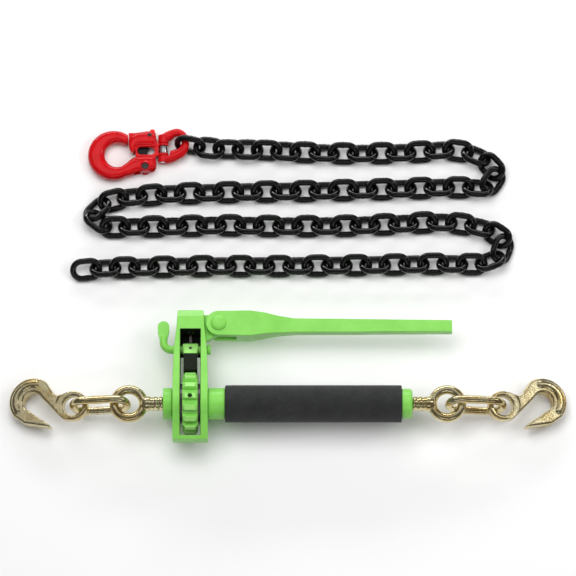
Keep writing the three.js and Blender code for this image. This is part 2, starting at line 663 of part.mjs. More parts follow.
/** The chain: each run of links is a body that hangs from the run before it. */
function addChain(parent) {
  const starts = RUNS.map((_, k) => RUNS.slice(0, k).reduce((sum, n) => sum + n, 1));
  const total = RUNS.reduce((sum, n) => sum + n);
  const joints = chainJoints(total);
  let holder = parent;
  let holderAt = new THREE.Vector3();
  RUNS.forEach((count, k) => {
    const first = starts[k];
    const numbers = Array.from({ length: count }, (_, n) => first + n);
    const links = numbers.map((i) => chainLink(joints[i - 1], joints[i], rollOf(i)));
    const welds = numbers.slice(1).map((i) => at(weld(), ...joints[i - 1]));
    const number = String(k + 1).padStart(2, "0");
    const name = `chain_${count > 1 ? "run" : "link"}_${number}`;
    const pivot = joints[first - 1];
    const run = body(`chain_${number}`, pivot, piece(name, BLACK, join(...links, ...welds)));
    run.position.sub(holderAt);
    holder.add(run);
    holder = run;
    holderAt = pivot;
  });
}

// ---------------------------------------------------------------- the whole kit

const kit = new THREE.Group();
kit.add(binder(), slingHook());
addChain(kit);

export default kit;
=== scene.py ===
"""Looks for the ratchet load binder and its lashing chain.

Shapes are drawn in millimetres in the frame of their assembly (binder, sling hook or chain)
and scaled to metres when a piece is placed. +X runs along the barrel, +Z is up.
"""

import json
import math

import bmesh
import bpy
from mathutils import Matrix, Vector


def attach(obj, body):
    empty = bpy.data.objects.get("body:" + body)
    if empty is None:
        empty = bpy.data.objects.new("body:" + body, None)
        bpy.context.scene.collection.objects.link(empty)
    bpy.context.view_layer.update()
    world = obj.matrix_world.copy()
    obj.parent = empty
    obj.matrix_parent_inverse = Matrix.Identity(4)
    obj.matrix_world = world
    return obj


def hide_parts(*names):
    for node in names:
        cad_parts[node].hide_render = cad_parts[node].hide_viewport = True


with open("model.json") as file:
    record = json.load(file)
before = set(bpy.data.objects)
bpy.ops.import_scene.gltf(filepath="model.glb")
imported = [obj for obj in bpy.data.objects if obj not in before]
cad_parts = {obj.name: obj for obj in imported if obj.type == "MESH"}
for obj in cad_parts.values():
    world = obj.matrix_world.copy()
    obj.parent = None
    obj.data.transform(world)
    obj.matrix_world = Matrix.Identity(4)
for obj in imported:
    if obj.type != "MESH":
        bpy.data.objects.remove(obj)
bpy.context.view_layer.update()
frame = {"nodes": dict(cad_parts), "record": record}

MM = 0.001
TAU = 2 * math.pi
rad = math.radians

# ---------------------------------------------------------------- driving dimensions (mm)

GAP = 0.3
GEAR_TIP, GEAR_ROOT, GEAR_HALF, GEAR_TEETH = 37.5, 31.5, 9.0, 16
GEAR_EDGE = 33.0  # tip radius at a tooth's bevelled end
BINDER_AT = Vector((-116.4, -153.6, GEAR_TIP))
JOURNAL_R = 16
PAWL_Y, PAWL_HUB_R, CLAW_TURN, CLAW_REACH = 67, 7.6, 26, 33.2
LEVER_R, LEVER_X, LEVER_TOP, LEVER_BEND, PADDLE_R = 4.8, -32.4, 102, 9.6, 6.9
HOUSING_LOW, HOUSING_TOP, HOUSING_CREASE, HOUSING_R, PLATE_HALF = -46, 113, 104, 27, 21
WINDOW_HALF, WINDOW_LOW, WINDOW_HIGH = 12, -41, 88
ROLL_PIN_R = 2.8
PIVOT = Vector((33.6, 96.8, 0))
HANDLE_END = 312.6
EYE_X, EYE_R, EYE_BAR = 73.2, 17.5, 5.5
RIGHT_EYE_X = 306
LINK_HALF, LINK_WIDE, LINK_BAR, LINK_LEAN, LINK_DROOP = 32.45, 13.25, 4.75, -13, 10
HOOK_THICK, HOOK_EYE_THICK, HOOK_DROOP, HOOK_YAW = 15, 11, 13.9, 4
SLING_AT = Vector((-211.2, 166.7, 8.7))
SLING_THICK, BOWL_OUTER, BOWL_INNER = 17, 31, 15.4
SLING_PIVOT = (38.4, -15.6)
TRIGGER_AT = (43.8, 24.4)
COUPLING_X, COUPLING_BAR, COUPLING_TILT = 60.4, 4.6, -8.5

# The chain: bar radius, inner length, step from joint to joint, half width at the bar's centre.
CHAIN_BAR, CHAIN_INNER, CHAIN_STEP, CHAIN_WIDE, CHAIN_LEAN = 3.75, 24, 23.2, 10.6, 30
CHAIN_SEAT = 4  # half the 8 mm that the chain is named for, where links bear and lie
TWIST_START, TWIST_PER_PAIR = 32, 8
RUNS = [1, 1, 4, 4, 3, 6, 5, 4, 4, 4, 5, 5, 4, 4, 5, 5, 4, 4, 4, 4, 2, 1, 1]
# The line that the chain lies along, in metres.
ROUTE = [
    (-0.1296, 0.1812), (-0.1056, 0.1762), (-0.0804, 0.1736), (-0.0336, 0.1733), (0.0144, 0.1705),
    (0.0720, 0.1692), (0.1392, 0.1702), (0.1716, 0.1724), (0.1944, 0.1744), (0.2136, 0.1726),
    (0.2340, 0.1649), (0.2526, 0.1504), (0.2550, 0.1360), (0.2485, 0.1250), (0.2350, 0.1245),
    (0.2120, 0.1266), (0.1872, 0.1262), (0.1200, 0.1241), (0.0264, 0.1216), (-0.0684, 0.1203),
    (-0.1536, 0.1178), (-0.2004, 0.1128), (-0.2232, 0.1065), (-0.2386, 0.0909), (-0.2310, 0.0765),
    (-0.2140, 0.0754), (-0.1944, 0.0761), (-0.1536, 0.0766), (-0.0792, 0.0783), (-0.0060, 0.0770),
    (0.0672, 0.0773), (0.1368, 0.0801), (0.1824, 0.0827), (0.2088, 0.0808), (0.2352, 0.0751),
    (0.2574, 0.0676), (0.2635, 0.0560), (0.2600, 0.0420), (0.2436, 0.0293), (0.2208, 0.0287),
    (0.1956, 0.0299), (0.1020, 0.0281), (0.0048, 0.0268), (-0.0960, 0.0268), (-0.1980, 0.0249),
    (-0.2232, 0.0243), (-0.2544, 0.0212), (-0.2900, 0.0202),
]

# ---------------------------------------------------------------- shells: (points, faces)


def grid(rows, wrap_rows=False):
    """Quads between rows of points; each row is a closed ring."""
    wide = len(rows[0])
    points = [p for row in rows for p in row]
    faces = []
    for i in range(len(rows) if wrap_rows else len(rows) - 1):
        j = (i + 1) % len(rows)
        for k in range(wide):
            m = (k + 1) % wide
            faces.append((i * wide + k, i * wide + m, j * wide + m, j * wide + k))
    return points, faces


def lathe(profile, sides=64, closed=True):
    """A profile of (radius, x) turned about X. An open profile starts and ends on the axis."""
    rows = [
        [(x, r * math.cos(TAU * k / sides), r * math.sin(TAU * k / sides)) for k in range(sides)]
        for r, x in profile
    ]
    return grid(rows, wrap_rows=closed)


def rounded(profile, radius, steps=3, closed=True):
    """The same profile with each corner turned into a short arc."""
    out = []
    count = len(profile)
    for i, here in enumerate(profile):
        if not closed and i in (0, count - 1):
            out.append(here)
            continue
        p = Vector(here)
        before = Vector(profile[i - 1]) - p
        after = Vector(profile[(i + 1) % count]) - p
        reach = min(radius, before.length * 0.45, after.length * 0.45)
        a = p + before.normalized() * reach
        b = p + after.normalized() * reach
        for k in range(steps + 1):
            t = k / steps
            q = a * (1 - t) ** 2 + p * 2 * t * (1 - t) + b * t**2
            out.append((q.x, q.y))
    return out


def axis_map(axis):
    """Takes a shape drawn along X to another axis."""
    turn = {"x": Matrix(), "y": Matrix.Rotation(rad(90), 4, "Z"), "z": Matrix.Rotation(rad(-90), 4, "Y")}
    return turn[axis]


def moved(shell, matrix):
    points, faces = shell
    return [tuple(matrix @ Vector(p)) for p in points], faces


def shift(shell, x=0.0, y=0.0, z=0.0):
    return moved(shell, Matrix.Translation((x, y, z)))


def rod(axis, r, low, high, sides=48, edge=0.4):
    """A round pin with softened ends."""
    profile = [(0, low), (r, low), (r, high), (0, high)]
    profile = rounded(profile, edge, closed=False) if edge else profile
    return moved(lathe(profile, sides, closed=False), axis_map(axis))


def ring(axis, inner, outer, low, high, sides=64, edge=0.4):
    profile = rounded([(inner, low), (outer, low), (outer, high), (inner, high)], edge)
    return moved(lathe(profile, sides), axis_map(axis))


def prism(outline, low, high, plane="xy"):
    """An outline pulled straight through its plane."""
    layouts = {
        "xy": lambda a, b, c: (a, b, c),
        "yz": lambda a, b, c: (c, a, b),
        "xz": lambda a, b, c: (a, c, b),
    }
    put = layouts[plane]
    count = len(outline)
    points = [put(a, b, low) for a, b in outline] + [put(a, b, high) for a, b in outline]
    faces = [tuple(range(count)), tuple(range(2 * count - 1, count - 1, -1))]
    faces += [(k, (k + 1) % count, count + (k + 1) % count, count + k) for k in range(count)]
    return points, faces


def block(x0, x1, y0, y1, z0, z1):
    return prism([(x0, y0), (x1, y0), (x1, y1), (x0, y1)], z0, z1)


def arc(x, y, r, start, end, steps=24):
    """Points on a circle from one angle to another, in degrees."""
    return [
        (x + r * math.cos(rad(start + (end - start) * k / steps)),
         y + r * math.sin(rad(start + (end - start) * k / steps)))
        for k in range(steps + 1)
    ]


def smooth_path(points, steps):
    """A Catmull-Rom curve through the points."""
    spots = [Vector(p) for p in points]
    out = []
    for i in range(len(spots) - 1):
        p0 = spots[i - 1] if i else spots[0] * 2 - spots[1]
        p1, p2 = spots[i], spots[i + 1]
        p3 = spots[i + 2] if i + 2 < len(spots) else p2 * 2 - p1
        for k in range(steps):
            t = k / steps
            out.append(
                0.5 * (2 * p1 + (p2 - p0) * t + (2 * p0 - 5 * p1 + 4 * p2 - p3) * t**2
                       + (3 * p1 - p0 - 3 * p2 + p3) * t**3)
            )
    return out + [spots[-1]]


def sweep(path, r, sides=20, closed=False, flat=1.0, dome=True):
    """A round bar along a path. r may be a list with one radius for each point."""
    spots = [Vector(p) for p in path]
    count = len(spots)
    radii = r if isinstance(r, list) else [r] * count

    def tangent(i):
        if closed:
            return (spots[(i + 1) % count] - spots[i - 1]).normalized()
        return (spots[min(i + 1, count - 1)] - spots[max(i - 1, 0)]).normalized()

    def section(centre, along, side, size):
        up = along.cross(side).normalized()
        row = []
        for k in range(sides):
            a = TAU * k / sides
            row.append(tuple(centre + side * (size * math.cos(a)) + up * (size * flat * math.sin(a))))
        return row

    def dome_row(end, out, turn):
        """One ring of the round cap beyond an end of the bar."""
        centre = spots[end] + along * (out * radii[end]) * math.sin(rad(turn))
        return section(centre, along, side, radii[end] * max(math.cos(rad(turn)), 1e-5))

    start = tangent(0)
    steep = abs(start.z) > 0.9
    side = start.orthogonal().normalized() if steep else start.cross(Vector((0, 0, 1)))
    rows = []
    for i in range(count):
        along = tangent(i)
        side = (side - along * side.dot(along)).normalized()
        if not closed and dome and i == 0:
            rows += [dome_row(0, -1, turn) for turn in (90, 60, 30)]
        rows.append(section(spots[i], along, side, radii[i]))
        if not closed and dome and i == count - 1:
            rows += [dome_row(-1, 1, turn) for turn in (30, 60, 90)]
    points, faces = grid(rows, wrap_rows=closed)
    if not closed:
        last = len(rows) - 1
        faces.append(tuple(range(sides)))
        faces.append(tuple(last * sides + k for k in reversed(range(sides))))
    return points, faces


def loft(stations, sides=40, power=2.5, ends=0.6):
    """A forged bar in XY. Each station is (x, y, half width, half thickness)."""
    spots = [Vector((x, y, 0)) for x, y, _, _ in stations]
    rows = []

    def section(centre, across, wide, thick):
        row = []
        for k in range(sides):
            c, s = math.cos(TAU * k / sides), math.sin(TAU * k / sides)
            a = math.copysign(abs(c) ** (2 / power), c) * wide
            b = math.copysign(abs(s) ** (2 / power), s) * thick
            row.append(tuple(centre + across * a + Vector((0, 0, b))))
        return row

    def cap(i, along, across, out):
        """The rings of a rounded end, from its tip inwards."""
        _, _, wide, thick = stations[i]
        rings = []
        for turn in (88, 70, 50, 30, 12):
            a = rad(turn)
            centre = spots[i] + along * (out * ends * wide) * math.sin(a)
            rings.append(section(centre, across, wide * math.cos(a), thick * math.cos(a)))
        return rings

    last = len(stations) - 1
    for i, (_, _, wide, thick) in enumerate(stations):
        along = (spots[min(i + 1, last)] - spots[max(i - 1, 0)]).normalized()
        across = Vector((along.y, -along.x, 0))
        if i == 0:
            rows += cap(i, along, across, -1)
        rows.append(section(spots[i], across, wide, thick))
        if i == last:
            rows += reversed(cap(i, along, across, 1))
    points, faces = grid(rows)
    top = (len(rows) - 1) * sides
    faces.append(tuple(range(sides)))
    faces.append(tuple(top + k for k in reversed(range(sides))))
    return points, faces


def eased(stations, steps=6):
    """The same stations with a smooth run between them."""
    spots = [Vector((x, y, wide)) for x, y, wide, _ in stations]
    thick = [Vector((h, 0, 0)) for _, _, _, h in stations]
    pairs = zip(smooth_path(spots, steps), smooth_path(thick, steps))
    return [(p.x, p.y, p.z, q.x) for p, q in pairs]


# ---------------------------------------------------------------- solids: objects in mm


def solid(shell):
    """A closed object of a shell, with its faces turned outwards."""
    points, faces = shell
    mesh = bpy.data.meshes.new("shape")
    mesh.from_pydata(points, [], faces)
    bm = bmesh.new()
    bm.from_mesh(mesh)
    bmesh.ops.remove_doubles(bm, verts=bm.verts, dist=1e-3)
    bmesh.ops.dissolve_degenerate(bm, edges=bm.edges, dist=1e-4)
    bmesh.ops.recalc_face_normals(bm, faces=bm.faces)
    bm.to_mesh(mesh)
    bm.free()
    made = bpy.data.objects.new("shape", mesh)
    bpy.context.scene.collection.objects.link(made)
    return made


def settle(obj):
    """Turns an object's modifiers into mesh."""
    graph = bpy.context.evaluated_depsgraph_get()
    graph.update()
    made = bpy.data.meshes.new_from_object(obj.evaluated_get(graph))
    obj.modifiers.clear()
    old = obj.data
    obj.data = made
    bpy.data.meshes.remove(old)
    return obj


def discard(obj):
    spare = obj.data
    bpy.data.objects.remove(obj)
    bpy.data.meshes.remove(spare)


def as_object(part):
    """A shell becomes an object; an object stays as it is."""
    return solid(part) if isinstance(part, tuple) else part


def combine(base, how, *shells):
    for shell in shells:
        other = solid(shell)
        step = base.modifiers.new("step", "BOOLEAN")
        step.operation = how
        step.solver = "EXACT"
        step.object = other
        settle(base)
        discard(other)
    return base


def fuse(first, *shells):
    return combine(as_object(first), "UNION", *shells)


def cut(base, *shells):
    return combine(as_object(base), "DIFFERENCE", *shells)


def forged(obj, voxel=0.5, rounds=6, keep=0.4):
    """Softens every edge of a fused solid, as casting and forging leave it."""
    skin = obj.modifiers.new("skin", "REMESH")
    skin.mode = "VOXEL"
    skin.voxel_size = voxel
    soften = obj.modifiers.new("soften", "SMOOTH")
    soften.factor = 0.5
    soften.iterations = rounds
    thin = obj.modifiers.new("thin", "DECIMATE")
    thin.ratio = keep
    return settle(obj)


def machined(obj, width=0.5, steps=2, clamp=True):
    """Breaks the sharp edges of a turned or milled piece."""
    edge = obj.modifiers.new("edge", "BEVEL")
    edge.width = width
    edge.segments = steps
    edge.limit_method = "ANGLE"
    edge.angle_limit = rad(30)
    edge.use_clamp_overlap = clamp
    return settle(obj)


def merged(*parts):
    """Several closed solids of one piece in one object."""
    base = as_object(parts[0])
    bm = bmesh.new()
    bm.from_mesh(base.data)
    for part in parts[1:]:
        other = as_object(part)
        bm.from_mesh(other.data)
        discard(other)
    bm.to_mesh(base.data)
    bm.free()
    return base


def place(obj, name, body, node, finish, matrix, smooth=40):
    """Names a solid, moves it to its place in metres and ties it to its body."""
    obj.name = name
    obj.data.name = name
    obj.data.transform(Matrix.Scale(MM, 4) @ matrix)
    if matrix.determinant() < 0:
        obj.data.flip_normals()
    for face in obj.data.polygons:
        face.use_smooth = True
    obj.data.set_sharp_from_angle(angle=rad(smooth))
    obj.data.materials.clear()
    obj.data.materials.append(finish)
    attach(obj, body)
    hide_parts(node)
    return obj


# ---------------------------------------------------------------- materials


class Nodes:
    """A short way to wire one material's nodes."""

    def __init__(self, name):
        self.material = bpy.data.materials.new(name)
        self.material.use_nodes = True
        self.tree = self.material.node_tree
        self.shader = self.tree.nodes["Principled BSDF"]
        self.spot = self.tree.nodes.new("ShaderNodeTexCoord").outputs["Object"]

    def add(self, kind, **inputs):
        node = self.tree.nodes.new(kind)
        for key, value in inputs.items():
            socket = node.inputs[key.replace("_", " ")]
            if isinstance(value, bpy.types.NodeSocket):
                self.tree.links.new(value, socket)
            else:
                socket.default_value = value
        return node

    def noise(self, per_metre, detail=4.0, rough=0.55):
        node = self.add("ShaderNodeTexNoise", Vector=self.spot, Scale=per_metre, Detail=detail,
                        Roughness=rough)
        return node.outputs["Fac"]

    def ramp(self, value, *stops):
        node = self.add("ShaderNodeValToRGB", Fac=value)
        ramp = node.color_ramp
        while len(ramp.elements) < len(stops):
            ramp.elements.new(0.5)
        for element, (where, color) in zip(ramp.elements, stops):
            element.position = where
            element.color = (*color, 1)
        return node.outputs["Color"]

    def between(self, value, low, high, start=0.3, end=0.7):
        node = self.add("ShaderNodeMapRange", Value=value)
        for key, number in (("From Min", start), ("From Max", end), ("To Min", low), ("To Max", high)):
            node.inputs[key].default_value = number
        return node.outputs["Result"]

    def mix(self, share, a, b):
        node = self.tree.nodes.new("ShaderNodeMix")
        node.data_type = "RGBA"
        colors = [s for s in node.inputs if s.type == "RGBA"]
        self.tree.links.new(share, node.inputs[0])
        for socket, value in zip(colors, (a, b)):
            if isinstance(value, bpy.types.NodeSocket):
                self.tree.links.new(value, socket)
            else:
                socket.default_value = (*value, 1)
        return next(s for s in node.outputs if s.type == "RGBA")

    def bump(self, *layers):
        """Each layer is (height, depth in metres)."""
        normal = None
        for height, depth in layers:
            node = self.add("ShaderNodeBump", Height=height, Distance=depth)
            node.inputs["Strength"].default_value = 1.0
            if normal:
                self.tree.links.new(normal, node.inputs["Normal"])
            normal = node.outputs["Normal"]
        self.tree.links.new(normal, self.shader.inputs["Normal"])

    def edges(self, low, high):
        """Where the surface turns a corner outwards, from 0 to 1."""
        node = self.tree.nodes.new("ShaderNodeNewGeometry")
        return self.between(node.outputs["Pointiness"], 0, 1, low, high)

    def creases(self, low, high):
        """Where the surface turns a corner inwards, from 0 to 1."""
        node = self.tree.nodes.new("ShaderNodeNewGeometry")
        return self.between(node.outputs["Pointiness"], 1, 0, low, high)

    def inside(self, ranges, soft):
        """1 inside a box, 0 outside. A range is (axis name, low, high) in metres."""
        split = self.add("ShaderNodeSeparateXYZ", Vector=self.spot)
        share = None
        for axis, low, high in ranges:
            here = split.outputs[axis]
            past_low = self.between(here, 0, 1, low - soft, low)
            before_high = self.between(here, 1, 0, high, high + soft)
            for side in (past_low, before_high):
                if share is None:
                    share = side
                    continue
                both = self.tree.nodes.new("ShaderNodeMath")
                both.operation = "MULTIPLY"
                self.tree.links.new(share, both.inputs[0])
                self.tree.links.new(side, both.inputs[1])
                share = both.outputs[0]
        return share

    def finish(self, color, roughness, **constants):
        self.tree.links.new(color, self.shader.inputs["Base Color"])
        self.tree.links.new(roughness, self.shader.inputs["Roughness"])
        for key, value in constants.items():
            self.shader.inputs[key.replace("_", " ")].default_value = value
        return self.material


ZONE_EDGE = 0.0004  # metres over which a black zone fades out


def zone(at, **spans):
    """A box for inside(), from spans in millimetres about an assembly's place."""
    place_of = dict(zip("XYZ", at))
    return [(axis, (place_of[axis] + low) * MM, (place_of[axis] + high) * MM)
            for axis, (low, high) in spans.items()]


def green_enamel(name="green_enamel", painted_shade_zone=None, shine=0.5):
    """The optional zone is a box painted near black: painted shade in a hollow of the piece."""
    m = Nodes(name)
    cloud = m.noise(45, 3)
    speck = m.noise(900, 2, 0.7)
    paint = m.ramp(cloud, (0.3, (0.205, 0.60, 0.080)), (0.7, (0.245, 0.67, 0.105)))
    worn = m.mix(m.edges(0.54, 0.62), paint, (0.33, 0.76, 0.17))
    pitted = m.mix(m.between(speck, 0, 0.5, 0.66, 0.74), worn, (0.10, 0.30, 0.05))
    # Painted shade: darker green in every crease, such as between the gear's teeth.
    paint = m.mix(m.creases(0.38, 0.47), pitted, (0.035, 0.13, 0.015))
    if painted_shade_zone:
        paint = m.mix(m.inside(painted_shade_zone, ZONE_EDGE), paint, (0.008, 0.012, 0.006))
    m.bump((m.noise(260, 3), 0.00022), (speck, 0.00006))
    return m.finish(paint, m.between(m.noise(120), 0.34, 0.50), Coat_Weight=shine / 2, Coat_Roughness=0.2,
                    Specular_IOR_Level=shine)


def red_enamel(name="red_enamel", painted_shade_zone=None):
    m = Nodes(name)
    paint = m.ramp(m.noise(60, 3), (0.3, (0.50, 0.002, 0.005)), (0.7, (0.58, 0.003, 0.007)))
    worn = m.mix(m.edges(0.56, 0.66), paint, (0.70, 0.012, 0.014))
    # Painted shade: darker red in the creases.
    paint = m.mix(m.creases(0.40, 0.485), worn, (0.06, 0.001, 0.002))
    # Painted shade: the optional zone's box goes near black.
    if painted_shade_zone:
        paint = m.mix(m.inside(painted_shade_zone, ZONE_EDGE), paint, (0.006, 0.005, 0.005))
    m.bump((m.noise(150, 2), 0.00012))
    return m.finish(paint, m.between(m.noise(200), 0.16, 0.26), Coat_Weight=0.15, Coat_Roughness=0.05,
                    Specular_IOR_Level=0.25)


def black_gloss():
    m = Nodes("black_gloss")
    paint = m.ramp(m.noise(90, 3), (0.3, (0.0012, 0.0012, 0.0013)), (0.7, (0.003, 0.003, 0.0032)))
    scuffed = m.mix(m.edges(0.58, 0.72), paint, (0.018, 0.018, 0.019))
    m.bump((m.noise(320, 3), 0.00006))
    return m.finish(scuffed, m.between(m.noise(240), 0.06, 0.14), Coat_Weight=0.25, Coat_Roughness=0.03,
                    Specular_IOR_Level=0.3)


def yellow_zinc():
    m = Nodes("yellow_zinc")
    drift = m.noise(38, 4, 0.6)
    plate = m.ramp(
        drift,
        (0.28, (0.46, 0.31, 0.12)), (0.42, (0.62, 0.50, 0.25)), (0.55, (0.74, 0.65, 0.40)),
        (0.66, (0.64, 0.57, 0.36)), (0.78, (0.48, 0.30, 0.16)),
    )
    rubbed = m.mix(m.edges(0.54, 0.64), plate, (0.88, 0.80, 0.56))
    # Painted shade: dark brown in the creases.
    crease_shade = m.mix(m.creases(0.40, 0.49), rubbed, (0.05, 0.028, 0.010))
    stained = m.mix(m.between(m.noise(300, 4), 0, 0.5, 0.6, 0.72), crease_shade, (0.20, 0.13, 0.05))
    m.bump((m.noise(420, 3), 0.00010), (m.noise(110, 2), 0.00018))
    return m.finish(stained, m.between(m.noise(170, 5), 0.17, 0.30), Metallic=1.0)


def steel(name, dark, light, rough):
    m = Nodes(name)
    tone = m.ramp(m.noise(180, 4), (0.3, dark), (0.7, light))
    rubbed = m.mix(m.edges(0.53, 0.64), tone, tuple(min(1, c * 1.25) for c in light))
    m.bump((m.noise(900, 3), 0.00004))
    return m.finish(rubbed, m.between(m.noise(350), rough, rough + 0.14), Metallic=1.0)


def foam():
    m = Nodes("foam_grip")
    cell = m.add("ShaderNodeTexVoronoi", Vector=m.spot, Scale=1500.0).outputs["Distance"]
    tone = m.ramp(m.noise(70, 4), (0.3, (0.018, 0.0185, 0.019)), (0.7, (0.028, 0.0285, 0.029)))
    dusty = m.mix(m.between(m.noise(420, 3), 0, 0.5, 0.5, 0.75), tone, (0.045, 0.046, 0.047))
    m.bump((cell, 0.00012), (m.noise(260, 4), 0.00020))
    return m.finish(dusty, m.between(m.noise(300), 0.82, 0.96), Sheen_Weight=0.1, Sheen_Roughness=0.6,
                    Specular_IOR_Level=0.3)


GREEN = green_enamel()
# Painted shade: the inside of the housing's window, its back wall included, is painted near black.
WINDOW_SHADE = zone(BINDER_AT, X=(-WINDOW_HALF - GAP, WINDOW_HALF + GAP), Y=(WINDOW_LOW - 0.2, WINDOW_HIGH + GAP))
# Painted shade: the pawl's claws below its hub are painted near black, the shade of the pawl's lower part.
CLAW_SHADE = zone(BINDER_AT, Y=(3.6, 59.1))
# Painted shade: the floor of the slot in the sling hook's head is painted near black.
HEAD_SLOT_SHADE = zone(SLING_AT, X=(28.2, 43.8), Y=(0.1, 10.3), Z=(-8.7, 3.2))
HEAD_PAINT = red_enamel("head_enamel", HEAD_SLOT_SHADE)
HOUSING_PAINT = green_enamel("housing_enamel", WINDOW_SHADE)
PAWL_PAINT = green_enamel("pawl_enamel", CLAW_SHADE, 0.2)
RED = red_enamel()
BLACK = black_gloss()
ZINC = yellow_zinc()
FOAM = foam()
DARK = steel("dark_steel", (0.09, 0.085, 0.08), (0.17, 0.16, 0.15), 0.32)
BRIGHT = steel("bright_steel", (0.55, 0.56, 0.58), (0.78, 0.79, 0.81), 0.18)
SLOT_FINISH = {
    "green_enamel": GREEN, "red_enamel": RED, "black_chain": BLACK, "yellow_zinc": ZINC,
    "foam_grip": FOAM, "dark_steel": DARK, "bright_steel": BRIGHT,
}

# ---------------------------------------------------------------- binder: housing, barrel, pawl, handle

TO_BINDER = Matrix.Translation(BINDER_AT)


def green(obj, name, body, node, smooth=40):
    return place(obj, name, body, node, GREEN, TO_BINDER, smooth)


def housing():
    """Both cheeks and the head in one casting, with the window right through and a wall behind."""
    side = [(HOUSING_LOW, 8)] + arc(0, 0, HOUSING_R, 130, 80, 12)
    side += [(HOUSING_CREASE, 16.5), (HOUSING_TOP, 12), (HOUSING_TOP, -12), (HOUSING_CREASE, -16.5)]
    side += arc(0, 0, HOUSING_R, -80, -130, 12) + [(HOUSING_LOW, -8)]
    half = [(PLATE_HALF, HOUSING_LOW), (PLATE_HALF, 30), (19.7, 62), (16.6, 92), (15.4, HOUSING_TOP)]
    front = half + [(-x, y) for x, y in reversed(half)]
    cheeks = solid(prism(side, -PLATE_HALF, PLATE_HALF, "yz"))
    combine(cheeks, "INTERSECT", prism(front, -40, 40))
    cut(cheeks, block(-WINDOW_HALF, WINDOW_HALF, WINDOW_LOW, WINDOW_HIGH, -50, 50))
    tongue = [(14, 74), (14, 109), (PIVOT.x, PIVOT.y + 12), (PIVOT.x, PIVOT.y - 12)]
    fuse(cheeks, prism(tongue, -5.5, 5.5), shift(rod("z", 12, -5.5, 5.5), PIVOT.x, PIVOT.y))
    cut(
        cheeks,
        rod("x", JOURNAL_R + GAP, -40, 40, 64, 0),
        shift(rod("x", LEVER_R + GAP, -40, 40, 40, 0), 0, PAWL_Y),
        shift(rod("z", 5.3, -20, 20, 40, 0), PIVOT.x, PIVOT.y),
        rod("y", 3.9, 87, 107, 32, 0),
    )
    # The wall comes out near black, inside the window's painted shade.
    wall_half = WINDOW_HALF + 0.5
    fuse(cheeks, block(-wall_half, wall_half, 62, WINDOW_HIGH + 0.5, -18, -16))
    place(forged(cheeks, 0.6, 6, 0.35), "housing_casting", "housing", "ratchet_housing",
          HOUSING_PAINT, TO_BINDER)


def barrel():
    """The tube with its stepped ends, the collar beside the gear and the foam sleeve."""
    profile = [
        (9.2, -32.4), (14, -32.4), (14, -21.4), (JOURNAL_R, -21.4), (JOURNAL_R, 21.4), (18.9, 21.4),
        (18.9, 41.1), (17.2, 41.1), (17.2, 252.3), (18, 252.3), (18, 262), (15.6, 264.6), (9.2, 264.6),
        (9.2, 240), (12.5, 240), (12.5, -8), (9.2, -8),
    ]
    tube = cut(solid(lathe(rounded(profile, 0.9), 72)), rod("z", ROLL_PIN_R, 0, 30, 24, 0))
    green(tube, "barrel_tube", "barrel", "barrel", 35)
    collar = lathe(rounded([(14.3, -32.4), (18.9, -32.4), (18.9, -21.7), (14.3, -21.7)], 1.2), 72)
    green(solid(collar), "barrel_collar", "barrel", "bearing_collar")
    sleeve = rounded([(17.5, 41.4), (22.2, 41.4), (22.2, 252), (17.5, 252)], 2.2, 5)
    place(solid(lathe(sleeve, 96)), "foam_sleeve", "barrel", "barrel_grip", FOAM, TO_BINDER)


def gear():
    """Each station along X has its own tooth height, which bevels the ends of the teeth."""
    pitch = 360 / GEAR_TEETH
    bore = JOURNAL_R + GAP
    dish = GEAR_HALF - 0.8  # how far out the sunk part of each face lies
    right = [(6.0, GEAR_TIP), (dish, GEAR_EDGE + 1.2), (GEAR_HALF, GEAR_EDGE)]
    stations = [(-x, tip) for x, tip in reversed(right)] + right
    # One tooth as (share of the pitch, share of the height).
    tooth = [(0.19, 0), (0.215, 0.12), (0.265, 0.86), (0.30, 1), (0.70, 1), (0.735, 0.86)]
    tooth += [(0.785, 0.12), (0.81, 0), (0.95, 0), (1.05, 0)]

    def outline(x, tip):
        return [
            (x, r * math.cos(rad(a)), r * math.sin(rad(a)))
            for k in range(GEAR_TEETH)
            for share, up in tooth
            for r, a in [(GEAR_ROOT + up * (tip - GEAR_ROOT), (k + share - 0.5) * pitch)]
        ]

    def hole(x, r):
        return [(x, r * y / math.hypot(y, z), r * z / math.hypot(y, z)) for _, y, z in outline(x, GEAR_TIP)]

    rows = [outline(x, tip) for x, tip in stations]
    face = [(GEAR_HALF, 30), (dish, 29.4), (dish, 21), (GEAR_HALF, 20.4)]
    face += [(GEAR_HALF, bore + 0.5), (GEAR_HALF - 0.5, bore)]
    rows += [hole(x, r) for x, r in face]
    rows += [hole(-x, r) for x, r in reversed(face)]
    wheel = cut(solid(grid(rows, wrap_rows=True)), rod("z", ROLL_PIN_R, 0, GEAR_TIP, 24, 0))
    green(wheel, "ratchet_wheel", "barrel", "ratchet_gear", 28)


def pawl():
    """The hub with two claws. A claw is (angle from its middle, radius about the hub)."""
    claw = [(0.5, 17), (0.14, 26), (0.06, CLAW_REACH - 0.6), (0.045, CLAW_REACH), (-0.045, CLAW_REACH),
            (-0.06, CLAW_REACH - 0.6), (-0.14, 26)]

    def tip(angle, r):
        return (PAWL_Y - r * math.cos(angle), r * math.sin(angle))

    turn = rad(CLAW_TURN)
    outline = [(PAWL_Y + 2, PAWL_HUB_R - 1)] + [tip(turn + a, r) for a, r in claw] + [tip(0, 14)]
    outline += [tip(-turn - a, r) for a, r in reversed(claw)] + [(PAWL_Y + 2, 1 - PAWL_HUB_R)]
    hub = shift(rod("x", PAWL_HUB_R, -9.3, 9.3, 64, 0.8), 0, PAWL_Y)
    body = fuse(hub, prism(outline, -8, 8, "yz"))
    cut(
        body,
        shift(rod("x", LEVER_R + GAP, -20, 20, 48, 0), 0, PAWL_Y),
        shift(rod("z", 2.1, -20, 20, 24, 0), 0, PAWL_Y),
    )
    place(machined(body, 0.5), "pawl_claws", "pawl", "pawl", PAWL_PAINT, TO_BINDER, 30)


